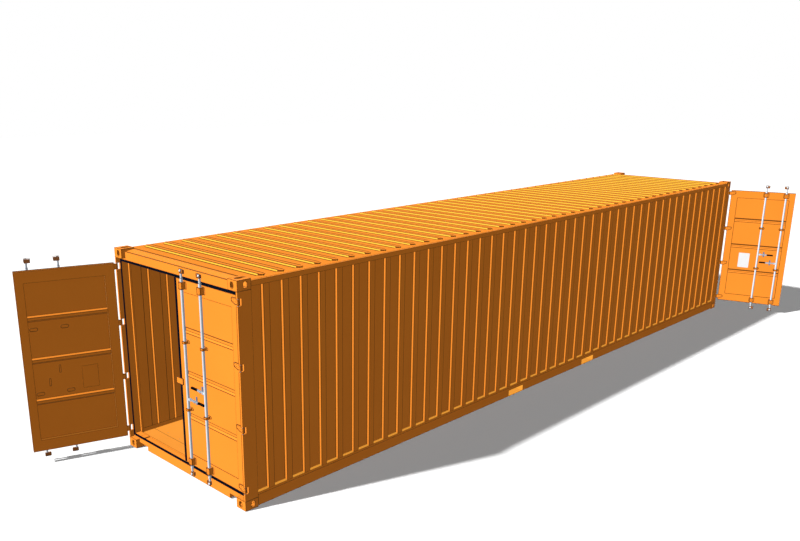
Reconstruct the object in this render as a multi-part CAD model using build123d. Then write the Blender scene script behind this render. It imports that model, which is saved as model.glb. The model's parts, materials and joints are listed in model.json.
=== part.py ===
from build123d import *
import math
import os

# 40 ft dry freight container with double doors at both ends.
# Millimetres, +Z up. The origin is on the ground at the centre of the footprint.
# X runs along the length, with the near end at -X.
# Each end is drawn once, in a frame with x = 0 on its casting faces and x growing inward.

# Overall sizes
length = 12192.0
width = 2438.0
height = 2591.0

# Corner castings
casting_x = 178.0
casting_y = 162.0
casting_z = 118.0
casting_wall = 18.0
casting_plate = 28.0
casting_back = 12.0
slot_inset_x = 103.5
slot_inset_y = 89.5
slot_long = 124.0
slot_wide = 63.5
end_hole_wide = 54.0
end_hole_high = 70.0
side_hole_wide = 50.0
side_hole_high = 72.0

# Doorway planes and heights
door_plane = 50.0
leaf_thick = 50.0
post_thick = 27.0
return_x = 152.0
return_deep = 26.0
sill_top = 137.0
sill_bottom = 15.0
header_bottom = height - 139.0
header_top = height - 38.0
seal_wide = 30.0
seal_side = 29.0
seal_deep = 5.0
frame_wall = 6.0
notch_wide = 192.0
notch_high = 58.0
gusset_high = 14.0
gusset_reach = 82.0
floor_top = 132.0
board_thick = 21.0

# Side rails and walls
rail_top_high = 60.0
rail_top_wide = 60.0
rail_top_under = height - 86.0
rail_wall = 4.0
low_rail_bottom = 15.0
low_rail_shoulder = 143.0
low_rail_web = 8.0
low_rail_flange = 54.0
ledge_low = 170.0
ledge_high = 188.0
ledge_plate = 6.0
rail_flange_under = 112.0
wall_outer = 3.0
wall_depth = 26.0
sheet = 3.0
pitch = 264.9
first_bevel = 147.0
bevel = 9.5
outer_flat = 85.0

# Roof
roof_sheet = 3.0
roof_rise = 17.0
roof_rib_inset = 50.0
roof_first = 176.5
roof_crest = 86.0
roof_run = 6.2
roof_tip = 45.0
roof_tip_half = 10.5
roof_side_lap = 24.0

# Underframe
member_pitch = 300.0
member_wide = 45.0
member_high = 90.0
member_wall = 5.0
pocket_spacing = 2050.0
pocket_wide = 360.0
pocket_high = 84.0
pocket_plate = 6.0
board_long = 1150.0
board_gap = 3.0
threshold_long = 172.0

# Leaves
leaf_bottom = sill_top + 37.0
leaf_top = header_bottom - 36.0
leaf_free = 20.0
leaf_hinge = width / 2 - 61.0
stile = 100.0
hinge_stile = 118.0
rail_end = 141.0
tube_wall = 4.0
panel_sheet = 3.0
panel_back = 4.0
press_depth = 28.0
press_open = 72.0
press_floor = 34.0
press_first = 0.2458
press_step = 0.2654
press_count = 3
drain_long = 30.0
drain_wide = 12.0

# Hinges
pin_x = 12.0
pin_y = width / 2 - 12.0
pin_r = 8.0
knuckle_r = 12.0
pin_fit = 0.3
hinge_low = 245.0
hinge_high = leaf_top - 56.0
hinge_count = 4
blade_high = 70.0
blade_tip = 48.0
blade_front = 28.0
blade_thick = 10.0
blade_reach = 133.0
pocket_clear = 5.0
pin_sunk = 7.0
open_near = 107.8
open_far = 162.9

# Locking bars
bar_x = 20.0
bar_r = 17.0
bar_wall = 3.5
bar_out_a = 530.0
bar_out_b = 178.0
bar_low = leaf_bottom - 24.0
bar_high = leaf_top + 24.0
shaft_r = 13.0
head_out = 48.0
head_in = 22.0
head_thick = 20.0
head_high = 46.0
head_notch = 14.0
head_top = header_top - 13.0
head_bottom = 67.0
bracket_half = 30.0
bracket_high = 84.0
bracket_front = 4.5
bracket_low = leaf_bottom + 67.0
bracket_up = leaf_top - 59.0
guide_high = 30.0
guide_half = 26.0
guide_low = 0.3207
guide_up = 0.6818
bar_fit = 0.5
vent_r = 4.0

# Handles
handle_up = 1182.0
handle_down = 1026.0
handle_long_a = 270.0
handle_long_b = 312.0
pivot_out = 44.0
cheek_thick = 5.0
cheek_gap = 1.0
cheek_half = 16.0
blade_t = 9.0
blade_h = 26.0
pivot_r = 6.0
grip_r = 12.0
grip_long = 110.0
retainer_half = 14.0
retainer_high = 96.0
retainer_plate = 6.0
shelf_thick = 4.0
shelf_gap = 2.0

# Small plates
plate_near = 284.0
plate_far = 482.0
plate_low = 888.0
plate_high = 1180.0
plate_thick = 3.0
backing_thick = 2.0
lap_low = 1154.0
lap_high = 1230.0
lap_out = 68.0
lap_in = 60.0
lap_thick = 6.0
lap_clear = 6.0
meet_seal = 34.0

half_l = length / 2
half_w = width / 2
parts = {}


def block(x0, x1, y0, y1, z0, z1):
    centre = ((x0 + x1) / 2, (y0 + y1) / 2, (z0 + z1) / 2)
    return Pos(*centre) * Box(abs(x1 - x0), abs(y1 - y0), abs(z1 - z0))


def rod_z(x, y, z0, z1, r):
    return Pos(x, y, (z0 + z1) / 2) * Cylinder(r, z1 - z0)


def rod_x(x0, x1, y, z, r):
    return Pos((x0 + x1) / 2, y, z) * Rot(0, 90, 0) * Cylinder(r, x1 - x0)


def rod_y(x, y0, y1, z, r):
    return Pos(x, (y0 + y1) / 2, z) * Rot(90, 0, 0) * Cylinder(r, y1 - y0)


def prism_z(points, z0, z1):
    return extrude(Pos(0, 0, z0) * Polygon(*points, align=None), z1 - z0, dir=(0, 0, 1))


def prism_x(points, x0, x1):
    # points are (y, z)
    plane = Plane(origin=(x0, 0, 0), x_dir=(0, 1, 0), z_dir=(1, 0, 0))
    return extrude(plane * Polygon(*points, align=None), x1 - x0, dir=(1, 0, 0))


def prism_y(points, y0, y1):
    # points are (x, z)
    plane = Plane(origin=(0, y1, 0), x_dir=(1, 0, 0), z_dir=(0, -1, 0))
    return extrude(plane * Polygon(*points, align=None), y1 - y0, dir=(0, -1, 0))


def flip_y(shape):
    return mirror(shape, about=Plane.XZ)


def at_near(shape):
    return Pos(-half_l, 0, 0) * shape


def at_far(shape):
    return Rot(0, 0, 180) * at_near(shape)


def solids_of(things):
    found = []
    for thing in things:
        found += list(thing.solids())
    return found


def keep(name, *things):
    parts[name] = solids_of(things)


# Corner castings, drawn for the bottom corner at +Y
def casting():
    y_in = half_w - casting_y
    body = block(0, casting_x, y_in, half_w, 0, casting_z)
    room = block(casting_wall, casting_x - casting_back, y_in + casting_back, half_w - casting_wall,
                 casting_plate, casting_z - casting_back)
    slot_x = slot_inset_x
    slot_y = half_w - slot_inset_y
    slot = extrude(Pos(slot_x, slot_y, -1) * SlotOverall(slot_long, slot_wide), casting_plate + 2)
    face_end = Plane(origin=(-1, slot_y, casting_z / 2), x_dir=(0, 0, 1), z_dir=(1, 0, 0))
    end_hole = extrude(face_end * SlotOverall(end_hole_high, end_hole_wide), casting_wall + 2)
    face_side = Plane(origin=(slot_x, half_w + 1, casting_z / 2), x_dir=(0, 0, 1), z_dir=(0, -1, 0))
    side_hole = extrude(face_side * SlotOverall(side_hole_high, side_hole_wide), casting_wall + 2)
    return body - room - slot - end_hole - side_hole


bottom_casting = casting()
top_casting = Pos(0, 0, height) * mirror(bottom_casting, about=Plane.XY)
castings = []
for one in (bottom_casting, top_casting):
    for side in (one, flip_y(one)):
        castings += [at_near(side), at_far(side)]
keep("corner_castings", *castings)

# Corner posts, a hollow bar with a return behind the leaf, notched for the hinge knuckles
w = frame_wall
jamb = half_w - post_thick
return_y = jamb - return_deep
casting_in = half_w - casting_y
casting_top_under = height - casting_z
return_under = header_bottom - return_deep
hinge_step = (hinge_high - hinge_low) / (hinge_count - 1)
hinge_heights = [hinge_low + i * hinge_step for i in range(hinge_count)]
notch_half = blade_high / 2 + pocket_clear


def post():
    outer = [(0, half_w), (casting_x, half_w), (casting_x, return_y), (return_x, return_y),
             (return_x, jamb), (0, jamb)]
    inner = [(door_plane + w, half_w - w), (casting_x - w, half_w - w), (casting_x - w, return_y + w),
             (return_x + w, return_y + w), (return_x + w, jamb + w), (door_plane + w, jamb + w)]
    body = prism_z(outer, casting_z, casting_top_under)
    foot = block(door_plane, casting_x, casting_in, jamb, casting_z, sill_top)
    foot = foot + block(door_plane + seal_deep + 3, return_x, casting_in, jamb, sill_top, sill_top + gusset_high)
    head = block(door_plane, casting_x, casting_in, jamb, header_bottom, casting_top_under)
    head = head + block(return_x, casting_x, casting_in, return_y, return_under, header_bottom)
    body = body + foot + head
    body = body - prism_z(inner, casting_z, casting_top_under)
    for z in hinge_heights:
        body = body - block(-1, door_plane, jamb - 1, half_w + 1, z - notch_half, z + notch_half)
        body = body - rod_z(pin_x, pin_y, z - notch_half - pin_sunk, z + notch_half + pin_sunk, pin_r)
    return body


near_post = post()
keep("corner_posts", at_near(near_post), at_near(flip_y(near_post)), at_far(near_post),
     at_far(flip_y(near_post)))

# Headers between the posts, with the return behind the leaves' top edges
header_section = [(door_plane, header_top), (casting_x, header_top), (casting_x, return_under),
                  (return_x, return_under), (return_x, header_bottom), (door_plane, header_bottom)]
header_room = [(door_plane + w, header_top - w), (casting_x - w, header_top - w),
               (casting_x - w, return_under + w), (return_x + w, return_under + w),
               (return_x + w, header_bottom + w), (door_plane + w, header_bottom + w)]
header = prism_y(header_section, -casting_in, casting_in) - prism_y(header_room, -casting_in, casting_in)
keep("end_headers", at_near(header), at_far(header))

# Sills between the posts, notched beside the bottom castings, with a lip under the floor's edge
sill_section = [(door_plane, sill_bottom), (casting_x, sill_bottom), (casting_x, floor_top),
                (return_x, floor_top), (return_x, sill_top), (door_plane, sill_top)]
sill_room = [(door_plane + w, sill_bottom + w), (casting_x - w, sill_bottom + w),
             (casting_x - w, floor_top - w), (door_plane + w, floor_top - w)]
sill = prism_y(sill_section, -casting_in, casting_in)
sill = sill - prism_y(sill_room, -casting_in + w, casting_in - w)
gusset = block(door_plane + seal_deep + 3, return_x, casting_in - gusset_reach, casting_in, sill_top,
               sill_top + gusset_high)
notch_in = casting_in - notch_wide
notch = block(door_plane - 1, door_plane + notch_high, notch_in, casting_in, sill_bottom - 1,
              sill_bottom + notch_high)
notch_lining = block(door_plane, door_plane + notch_high + w, notch_in - w, casting_in,
                     sill_bottom, sill_bottom + notch_high + w)
sill = sill + gusset + flip_y(gusset) + notch_lining + flip_y(notch_lining)
sill = sill - notch - flip_y(notch)
keep("end_sills", at_near(sill), at_far(sill))

# Door seals round each doorway, flush with the faces of the header and the sill
seal_outer = block(door_plane, door_plane + seal_deep, -jamb, jamb, sill_top, header_bottom)
seal_inner = block(door_plane - 1, door_plane + seal_deep + 1, -jamb + seal_side, jamb - seal_side,
                   sill_top + seal_wide, header_bottom - seal_wide)
seal = seal_outer - seal_inner
keep("doorway_seals", at_near(seal), at_far(seal))

# Top side rails, square tube between the top castings
body_half = half_l - casting_x
rail_top = rail_top_under + rail_top_high
tube = block(-body_half, body_half, half_w - rail_top_wide, half_w, rail_top_under, rail_top)
tube = tube - block(-body_half, body_half, half_w - rail_top_wide + rail_wall, half_w - rail_wall,
                    rail_top_under + rail_wall, rail_top - rail_wall)
keep("top_side_rails", tube, flip_y(tube))

# Bottom side rails, a channel with a sloped ledge under the wall, cut for the fork pockets
wall_face = half_w - wall_outer
wall_back = wall_face - wall_depth
web_in = half_w - low_rail_web
flange_out = wall_back - sheet + ledge_plate
low_section = [(half_w, low_rail_bottom), (half_w, low_rail_shoulder), (wall_face, low_rail_shoulder),
               (wall_face, ledge_low), (wall_back - sheet, ledge_high),
               (wall_back - sheet, rail_flange_under), (flange_out, rail_flange_under),
               (flange_out, ledge_high - ledge_plate - sheet), (web_in, ledge_low - ledge_plate / 2),
               (web_in, low_rail_bottom + ledge_plate),
               (half_w - low_rail_flange, low_rail_bottom + ledge_plate),
               (half_w - low_rail_flange, low_rail_bottom)]
low_rail = prism_x(low_section, -body_half, body_half)
pocket_places = [-pocket_spacing / 2, pocket_spacing / 2]
pocket_half = pocket_wide / 2 + pocket_plate
pocket_top = low_rail_bottom + pocket_high + 2 * pocket_plate
for place in pocket_places:
    low_rail = low_rail - block(place - pocket_half, place + pocket_half,
                                half_w - low_rail_flange - 1, half_w + 1,
                                low_rail_bottom - 1, pocket_top)
keep("bottom_side_rails", low_rail, flip_y(low_rail))

# Side walls, pressed sheet with upright troughs, of one thickness on the flats and the bevels
rib_count = 1 + int((2 * body_half - first_bevel) / pitch)
skew = sheet * math.tan(math.atan2(wall_depth, bevel) / 2)
outside = [(-body_half, wall_back)]
inside = [(-body_half, wall_back - sheet)]
for i in range(rib_count):
    start = -body_half + first_bevel + i * pitch
    for dx, y, move in ((0, wall_back, skew), (bevel, wall_face, skew), (bevel + outer_flat, wall_face, -skew),
                        (2 * bevel + outer_flat, wall_back, -skew)):
        if start + dx < body_half:
            outside.append((start + dx, y))
            inside.append((start + dx + move, y - sheet))
outside.append((body_half, outside[-1][1]))
inside.append((body_half, inside[-1][1]))
skin = outside + inside[::-1]
wall = prism_z(skin, ledge_low - 20, rail_top_under)
under_ledge = [(half_w + 5, low_rail_bottom), (half_w + 5, ledge_low), (wall_face, ledge_low),
               (wall_back - sheet, ledge_high), (wall_back - sheet - 5, ledge_high),
               (wall_back - sheet - 5, low_rail_bottom)]
wall = wall - prism_x(under_ledge, -body_half - 1, body_half + 1)
keep("left_side_wall", wall)
keep("right_side_wall", flip_y(wall))

# Roof, pressed sheet with raised ribs across it that end in points, lying on the rails and the headers
roof_base = rail_top
roof_half = half_w - roof_side_lap
roof = block(-body_half, body_half, -roof_half, roof_half, roof_base, roof_base + roof_sheet)
ridges = []
hollows = []
rib_end = roof_half - roof_rib_inset


def rib_outline(mid, inset):
    # The outline of a rib's foot, drawn smaller by the inset on every side
    half = roof_crest / 2 + roof_run
    slant = math.hypot(roof_tip, half - roof_tip_half)
    nx = roof_tip / slant
    ny = (half - roof_tip_half) / slant
    reach = nx * half + ny * (rib_end - roof_tip) - inset
    side = half - inset
    knee = (reach - nx * side) / ny
    end = rib_end - inset
    tip = (reach - ny * end) / nx
    corners = [(tip, end), (-tip, end), (-side, knee), (-side, -knee), (-tip, -end), (tip, -end), (side, -knee),
               (side, knee)]
    return Polygon(*[(mid + x, y) for x, y in corners], align=None)


def ridge(mid, z0, inset):
    foot = Pos(0, 0, z0) * rib_outline(mid, inset)
    crest = Pos(0, 0, z0 + roof_rise) * rib_outline(mid, inset + roof_run)
    return loft([foot, crest], ruled=True)


rib_half = roof_crest / 2 + roof_run
rib_gap = roof_sheet * math.tan(math.atan2(roof_rise, roof_run) / 2)
for i in range(rib_count):
    mid = -body_half + roof_first + rib_half + i * pitch
    if mid + rib_half < body_half:
        ridges.append(ridge(mid, roof_base + roof_sheet, 0))
        hollows.append(ridge(mid, roof_base, rib_gap))
roof = roof + ridges
roof = roof - hollows
keep("roof_panel", roof)

# Roof end flashings between the header and the roof sheet
flash = [(door_plane, header_top), (casting_x, header_top), (casting_x, roof_base + roof_sheet),
         (casting_x - 20, roof_base + roof_sheet)]
flash_piece = prism_y(flash, -casting_in, casting_in)
keep("header_plates", at_near(flash_piece), at_far(flash_piece))

# Floor boards on the cross members, with a steel threshold plate inside each sill
board_y = wall_back - sheet
wood_half = body_half - threshold_long
count = round(2 * wood_half / board_long)
run = 2 * wood_half / count
floor_under = floor_top - board_thick
boards = []
for i in range(count):
    x0 = -wood_half + i * run
    boards.append(block(x0 + board_gap / 2, x0 + run - board_gap / 2, -board_y, board_y,
                        floor_under, floor_top))
threshold = block(casting_x, casting_x + threshold_long - board_gap / 2, -board_y, board_y, floor_under, floor_top)
keep("floor_boards", *boards, at_near(threshold), at_far(threshold))

# Cross members, channels between the bottom rails' webs
member_top = floor_under
member_bottom = member_top - member_high
members = []


def member(x):
    half = member_wide / 2
    t = member_wall
    section = [(x - half, member_bottom), (x + half, member_bottom), (x + half, member_bottom + t),
               (x - half + t, member_bottom + t), (x - half + t, member_top - t),
               (x + half, member_top - t), (x + half, member_top), (x - half, member_top)]
    return prism_y(section, -web_in, web_in)


steps = int(body_half / member_pitch)
spots = [i * member_pitch for i in range(-steps, steps + 1)]
clear = pocket_half + member_wide / 2
for x in spots:
    if all(abs(x - place) > clear for place in pocket_places):
        members.append(member(x))
keep("cross_members", *members)

# Fork pockets, tunnels across the underframe that end flush with the rails
tunnels = []
for place in pocket_places:
    shell = block(place - pocket_half, place + pocket_half, -half_w, half_w, low_rail_bottom, pocket_top)
    void = block(place - pocket_wide / 2, place + pocket_wide / 2, -half_w - 1, half_w + 1,
                 low_rail_bottom + pocket_plate, pocket_top - pocket_plate)
    tunnels.append(shell - void)
keep("fork_pockets", *tunnels)

# Hinge pins, sunk into the posts above and below each notch
pins = []
for z in hinge_heights:
    reach = notch_half + pin_sunk
    pin = rod_z(pin_x, pin_y, z - reach, z + reach, pin_r)
    pins += [pin, flip_y(pin)]
keep("hinge_pins", *[at_near(k) for k in pins], *[at_far(k) for k in pins])


# Leaf pieces, drawn closed on the +Y side, which is the left-hand leaf of the near end
leaf_back = door_plane + leaf_thick
pane_y0 = leaf_free + stile
pane_y1 = leaf_hinge - hinge_stile
pane_z0 = leaf_bottom + rail_end
pane_z1 = leaf_top - rail_end
pane_high = pane_z1 - pane_z0
press_heights = [pane_z0 + pane_high * (press_first + press_step * i) for i in range(press_count)]
leaf_high = leaf_top - leaf_bottom
guide_heights = [leaf_bottom + leaf_high * share for share in (guide_low, guide_up)]


def leaf_frame():
    ring = block(door_plane, leaf_back, leaf_free, leaf_hinge, leaf_bottom, leaf_top)
    ring = ring - block(door_plane - 1, leaf_back + 1, pane_y0, pane_y1, pane_z0, pane_z1)
    t = tube_wall
    room = block(door_plane + t, leaf_back - t, leaf_free + t, leaf_hinge - t,
                 leaf_bottom + t, leaf_top - t)
    room = room - block(door_plane, leaf_back, pane_y0 - t, pane_y1 + t, pane_z0 - t, pane_z1 + t)
    ring = ring - room
    mid = (leaf_free + leaf_hinge) / 2
    x = door_plane + leaf_thick / 2
    drain = block(x - drain_wide / 2, x + drain_wide / 2, mid - drain_long / 2, mid + drain_long / 2,
                  leaf_bottom - 1, leaf_bottom + t + 1)
    return ring - drain


def leaf_panel():
    x0 = door_plane + panel_back
    line = [(x0, pane_z0)]
    for z in press_heights:
        line += [(x0, z - press_open / 2), (x0 + press_depth, z - press_floor / 2),
                 (x0 + press_depth, z + press_floor / 2), (x0, z + press_open / 2)]
    line.append((x0, pane_z1))
    skin = line + [(x + panel_sheet, z) for x, z in reversed(line)]
    return prism_y(skin, pane_y0, pane_y1)


def hinge_blade(z):
    back = blade_front + blade_thick
    half = blade_high / 2
    tip = pin_y - blade_reach
    taper = pin_y - 0.55 * blade_reach
    low = z + half - blade_tip
    outline = [(pin_y - 22, z + half), (tip + 9, z + half), (tip, z + half - 9), (tip, low + 9),
               (tip + 9, low), (taper, z - half), (pin_y - 22, z - half)]
    neck = [(pin_x - 2, pin_y - knuckle_r + 1), (blade_front, pin_y - 22), (back, pin_y - 22),
            (back, pin_y - 10), (pin_x + 8, pin_y + 6), (pin_x, pin_y)]
    blade = prism_x(outline, blade_front, back) + prism_z(neck, z - half, z + half)
    blade = blade + rod_z(pin_x, pin_y, z - half, z + half, knuckle_r)
    blade = blade + block(back, door_plane, tip + 10, leaf_hinge - 4, z - 20, z + 20)
    return blade - rod_z(pin_x, pin_y, z - blade_high, z + blade_high, pin_r + pin_fit)


def bar_support(y, z, half, high):
    front = bar_x - bar_r - bracket_front
    body = block(front, door_plane, y - half, y + half, z - high / 2, z + high / 2)
    body = body - block(bar_x, door_plane + 1, y - bar_r - bar_fit, y + bar_r + bar_fit,
                        z - high / 2 - 1, z + high / 2 + 1)
    body = body - rod_z(bar_x, y, z - high, z + high, bar_r + bar_fit)
    return body


def leaf_fittings():
    pieces = [hinge_blade(z) for z in hinge_heights]
    for y in (bar_out_a, bar_out_b):
        for z in (bracket_low, bracket_up):
            pieces.append(bar_support(y, z, bracket_half, bracket_high))
        for z in guide_heights:
            pieces.append(bar_support(y, z, guide_half, guide_high))
    return pieces


def backing_plate():
    x0 = door_plane + panel_back + panel_sheet
    return block(x0, x0 + backing_thick, leaf_hinge - plate_far, leaf_hinge - plate_near, plate_low, plate_high)


def cam(y, toward, z, notch_z):
    # A forged head with a longer lobe on the side that swings away from the doorway
    lobes = sorted((y + toward * head_out, y - toward * head_in))
    x0 = bar_x - head_thick / 2
    x1 = bar_x + head_thick / 2
    plate = block(x0, x1, lobes[0], lobes[1], z, z + head_high)
    plate = fillet(plate.edges().filter_by(Axis.X), 5)
    return plate - rod_x(x0 - 1, x1 + 1, y, notch_z, head_notch / 2)


def bar(y, toward, z):
    pipe = rod_z(bar_x, y, bar_low, bar_high, bar_r)
    pipe = pipe - rod_z(bar_x, y, bar_low, bar_high, bar_r - bar_wall)
    span = 26.0
    for low, high in ((head_bottom + head_high - 12, bar_low + span),
                      (bar_high - span, head_top - head_high + 12)):
        pipe = pipe + rod_z(bar_x, y, low, high, shaft_r)
    for low, high in ((bar_low, bar_low + span), (bar_high - span, bar_high)):
        pipe = pipe + rod_z(bar_x, y, low, high, bar_r - bar_wall / 2)
    pipe = pipe + cam(y, toward, head_bottom, head_bottom)
    pipe = pipe + cam(y, toward, head_top - head_high, head_top)
    inner = blade_t / 2 + cheek_gap
    for side in (-1, 1):
        a = bar_x + side * inner
        b = a + side * cheek_thick
        far = y + toward * (pivot_out + cheek_half)
        cheek = block(a, b, y + toward * (bar_r - bar_wall), far, z - cheek_half, z + cheek_half)
        cheek = cheek - rod_x(min(a, b) - 1, max(a, b) + 1, y + toward * pivot_out, z, pivot_r)
        pipe = pipe + cheek
    vent = rod_x(bar_x - bar_r - 1, bar_x, y, bar_low + span + 8, vent_r)
    return pipe - vent


def handle(y, toward, z, long):
    pivot = y + toward * pivot_out
    end = y + toward * long
    blade = block(bar_x - blade_t / 2, bar_x + blade_t / 2, pivot, end - toward * grip_long / 2,
                  z - blade_h / 2, z + blade_h / 2)
    blade = blade + rod_x(bar_x - blade_t / 2, bar_x + blade_t / 2, pivot, z, blade_h / 2)
    reach_x = blade_t / 2 + cheek_gap + cheek_thick
    blade = blade + rod_x(bar_x - reach_x, bar_x + reach_x, pivot, z, pivot_r - pin_fit)
    a, b = sorted((end - toward * grip_long, end))
    return blade + rod_y(bar_x, a, b, z, grip_r)


def retainer(bar_y, toward, z, long):
    y = bar_y + toward * (pivot_out + long - grip_long) / 2
    half = retainer_half
    plate_x = door_plane + panel_back
    plate = block(plate_x - retainer_plate, plate_x, y - half, y + half,
                  z - retainer_high / 2, z + retainer_high / 2)
    top = z - blade_h / 2 - shelf_gap
    shelf = block(bar_x - blade_t, plate_x - retainer_plate, y - half, y + half, top - shelf_thick, top)
    return plate + shelf


def leaf_plate():
    x1 = door_plane + panel_back
    y1 = leaf_hinge - plate_near
    y0 = leaf_hinge - plate_far
    return block(x1 - plate_thick, x1, y0, y1, plate_low, plate_high)


def meeting_seal():
    return block(door_plane, leaf_back - 6, leaf_free - meet_seal, leaf_free, leaf_bottom, leaf_top)


def lap_plate():
    x1 = door_plane - lap_clear
    plate = block(x1 - lap_thick, x1, -lap_out, lap_in, lap_low, lap_high)
    return plate + block(x1, door_plane, leaf_free + 4, lap_in, lap_low, lap_high)


def leaf_set(name, place, keep_left):
    arms = [("a", bar_out_a, -1, handle_up, handle_long_a), ("b", bar_out_b, 1, handle_down, handle_long_b)]
    fittings = leaf_fittings() + ([backing_plate()] if keep_left else [])
    keep(name + "_leaf_frame", place(leaf_frame()))
    keep(name + "_leaf_panel", place(leaf_panel()))
    keep(name + "_leaf_fittings", *[place(p) for p in fittings])
    keep(name + "_retainers", *[place(retainer(r, t, z, n)) for k, r, t, z, n in arms])
    for k, r, t, z, n in arms:
        keep(name + "_bar_" + k, place(bar(r, t, z)))
        keep(name + "_handle_" + k, place(handle(r, t, z, n)))
    if keep_left:
        keep(name + "_plate", place(leaf_plate()))
    else:
        keep(name + "_meeting_seal", place(meeting_seal()))
        keep(name + "_lap_plate", place(lap_plate()))


def swung(shape, angle):
    about = Pos(pin_x, pin_y, 0) * Rot(0, 0, -angle) * Pos(-pin_x, -pin_y, 0)
    return about * shape


leaf_set("near_left", lambda s: at_near(swung(s, open_near)), True)
leaf_set("near_right", lambda s: at_near(flip_y(s)), False)
leaf_set("far_left", lambda s: at_far(swung(s, open_far)), True)
leaf_set("far_right", lambda s: at_far(flip_y(s)), False)

os.makedirs("parts", exist_ok=True)
for name, solids in parts.items():
    shape = solids[0] if len(solids) == 1 else Compound(children=solids)
    export_step(shape, "parts/" + name + ".step")
    print(name, len(solids), round(sum(s.volume for s in solids) / 1e6, 2), "litres")
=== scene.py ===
# %% [markdown]
# # A long freight container with doors at both ends
# This lesson dresses a finished engineering model of a 12.19 m steel container. The solids already
# have their true size and place, so the work here is the paint, the pressed sheet, the small
# fittings, the light and the camera. Everything is in metres, with +Z up, X along the length and
# the near end at -X.

# %% Load the engineering model
import json
import math

import bpy
from mathutils import Matrix, Vector


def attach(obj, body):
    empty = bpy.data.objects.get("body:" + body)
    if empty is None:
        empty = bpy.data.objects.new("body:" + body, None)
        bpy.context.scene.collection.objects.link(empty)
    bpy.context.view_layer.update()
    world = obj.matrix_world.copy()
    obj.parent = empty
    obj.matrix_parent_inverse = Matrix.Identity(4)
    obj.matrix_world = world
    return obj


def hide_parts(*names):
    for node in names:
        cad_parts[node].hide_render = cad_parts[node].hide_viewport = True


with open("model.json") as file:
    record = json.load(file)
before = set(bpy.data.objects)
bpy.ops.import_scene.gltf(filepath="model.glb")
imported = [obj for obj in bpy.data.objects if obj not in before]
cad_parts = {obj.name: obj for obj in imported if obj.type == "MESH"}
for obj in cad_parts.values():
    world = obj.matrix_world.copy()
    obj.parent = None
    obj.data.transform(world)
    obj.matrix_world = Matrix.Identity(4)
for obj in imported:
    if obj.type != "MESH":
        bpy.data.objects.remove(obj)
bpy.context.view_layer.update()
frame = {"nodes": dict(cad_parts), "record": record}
nodes = frame["nodes"]

# %% [markdown]
# Paint on a new container is one even coat over rolled steel. A flat colour would look like
# plastic, so each finish below mixes two close tones with a slow noise, breaks up the gloss with a
# faster one, and raises a fine bump for the sprayed surface. All of it reads Object coordinates,
# which are metres here, so the scale of every grain is a real size. A finish can also carry
# layers: small functions that each lay one more tone over the colour so far.

# %% Helpers that add one node
def step(tree, kind, values, **settings):
    node = tree.nodes.new(kind)
    for key, value in settings.items():
        setattr(node, key, value)
    pairs = values.items() if isinstance(values, dict) else enumerate(values)
    for key, value in pairs:
        if isinstance(value, bpy.types.NodeSocket):
            tree.links.new(value, node.inputs[key])
        else:
            node.inputs[key].default_value = value
    return node.outputs[0]


def calc(tree, operation, *values):
    return step(tree, "ShaderNodeMath", values, operation=operation)


# %% A helper that builds a finish
def mixed(tree, share, colour_a, colour_b):
    mix = tree.nodes.new("ShaderNodeMix")
    mix.data_type = "RGBA"
    mix.inputs[7].default_value = (*colour_b, 1)
    tree.links.new(share, mix.inputs[0])
    tree.links.new(colour_a, mix.inputs[6])
    return mix.outputs[2]


def finish(name, colour, spread=0.06, rough=0.45, rough_spread=0.1, metal=0.0, grain=60.0,
           bump=0.08, cloud=1.3, shine=0.3, layers=()):
    mat = bpy.data.materials.new(name)
    mat.use_nodes = True
    tree = mat.node_tree
    tree.nodes.clear()
    shader = tree.nodes.new("ShaderNodeBsdfPrincipled")
    shader.inputs["Metallic"].default_value = metal
    shader.inputs["Specular IOR Level"].default_value = shine
    spot = tree.nodes.new("ShaderNodeTexCoord").outputs
    slow = step(tree, "ShaderNodeTexNoise", {"Vector": spot["Object"], "Scale": cloud, "Detail": 4.0})
    fast = step(tree, "ShaderNodeTexNoise", {"Vector": spot["Object"], "Scale": grain, "Detail": 3.0})
    tone = tree.nodes.new("ShaderNodeValToRGB")
    for i, sign in enumerate((-1, 1)):
        tone.color_ramp.elements[i].position = 0.5 + sign * 0.15
        shade = [min(1.0, c * (1 + sign * spread)) for c in colour]
        tone.color_ramp.elements[i].color = (*shade, 1)
    tree.links.new(slow, tone.inputs["Fac"])
    colour_now = tone.outputs["Color"]
    for layer in layers:
        colour_now = layer(tree, spot, colour_now)
    gloss = step(tree, "ShaderNodeMapRange", {"Value": fast, "To Min": rough - rough_spread,
                                              "To Max": rough + rough_spread})
    relief = step(tree, "ShaderNodeBump", {"Height": fast, "Strength": bump, "Distance": 0.002})
    tree.links.new(colour_now, shader.inputs["Base Color"])
    tree.links.new(gloss, shader.inputs["Roughness"])
    tree.links.new(relief, shader.inputs["Normal"])
    out = tree.nodes.new("ShaderNodeOutputMaterial")
    tree.links.new(shader.outputs["BSDF"], out.inputs["Surface"])
    return mat


# %% [markdown]
# The container is drawn here as in a maker's illustration, where thin dark lines follow each edge
# and each bend. A line could be a swept bead, but on hundreds of edges that costs too many faces. So
# these layers find the line in the shading: a Bevel node whose normal departs from the flat face's
# marks an edge, and the distance along X from the middle of a rib marks a bend. Three other layers
# paint light and shade on the faces that are turned one way: a painted highlight on the slopes of
# the roof ribs and on the ledge of the bottom rail, and painted shade on the ends of the roof ribs
# and on the narrow faces round a leaf. One more gives the ends of the bars another colour.

# %% Layers for edges, and painted light and shade for faces turned one way
rounded = 0.93
nearly_flat = 0.99


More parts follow.
